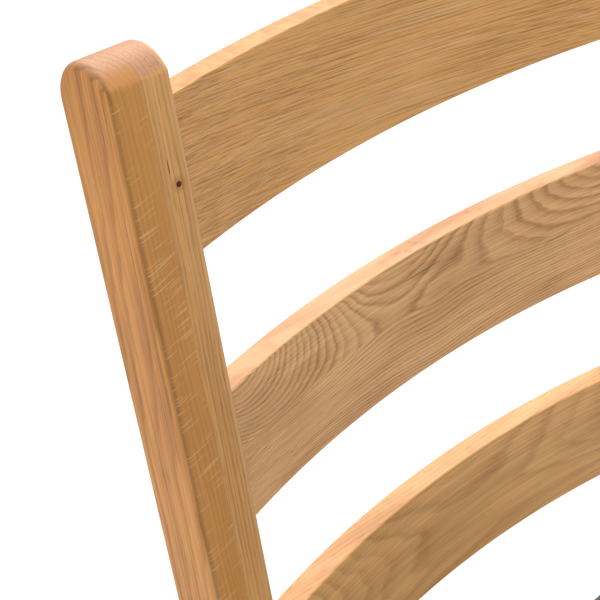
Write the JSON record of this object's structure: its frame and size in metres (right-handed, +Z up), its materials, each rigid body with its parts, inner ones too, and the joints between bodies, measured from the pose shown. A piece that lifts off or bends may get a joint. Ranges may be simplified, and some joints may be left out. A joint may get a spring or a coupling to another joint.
{
  "type": "dining chair",
  "caption": "Ladder-back dining chair: oak posts with rounded tops, bowed back slats between them and an upholstered leather seat on a railed frame.",
  "frame": {"origin": "on the floor at the middle of the chair's bounding box", "axes": "+Z up, the sitter faces -Y, +X to the right when the chair is seen from the front"},
  "size_m": [0.44, 0.559, 0.975],
  "materials": {
    "oak": "satin",
    "corner_block_wood": "matte",
    "dowel_wood": "matte",
    "plywood": "matte",
    "foam": "matte",
    "seat_leather": "satin",
    "dust_cloth": "matte",
    "steel": "satin",
    "glide_plastic": "matte"
  },
  "bodies": {
    "root": {"back_post_left": "oak", "back_post_right": "oak", "back_slat_lower": "oak", "back_slat_middle": "oak", "back_slat_upper": "oak", "corner_block_front_left": "corner_block_wood", "corner_block_front_right": "corner_block_wood", "corner_block_rear_left": "corner_block_wood", "corner_block_rear_right": "corner_block_wood", "corner_block_screws": "steel", "cross_stretcher": "oak", "front_leg_left": "oak", "front_leg_right": "oak", "front_rail": "oak", "glide_front_left": "glide_plastic", "glide_front_right": "glide_plastic", "glide_nails": "steel", "glide_rear_left": "glide_plastic", "glide_rear_right": "glide_plastic", "rail_dowels": "dowel_wood", "rear_rail": "oak", "seat_cover": "seat_leather", "seat_dust_cover": "dust_cloth", "seat_foam": "foam", "seat_plywood": "plywood", "seat_screws": "steel", "seat_staples": "steel", "side_rail_left": "oak", "side_rail_right": "oak", "side_stretcher_left": "oak", "side_stretcher_right": "oak"}
  },
  "joints": []
}
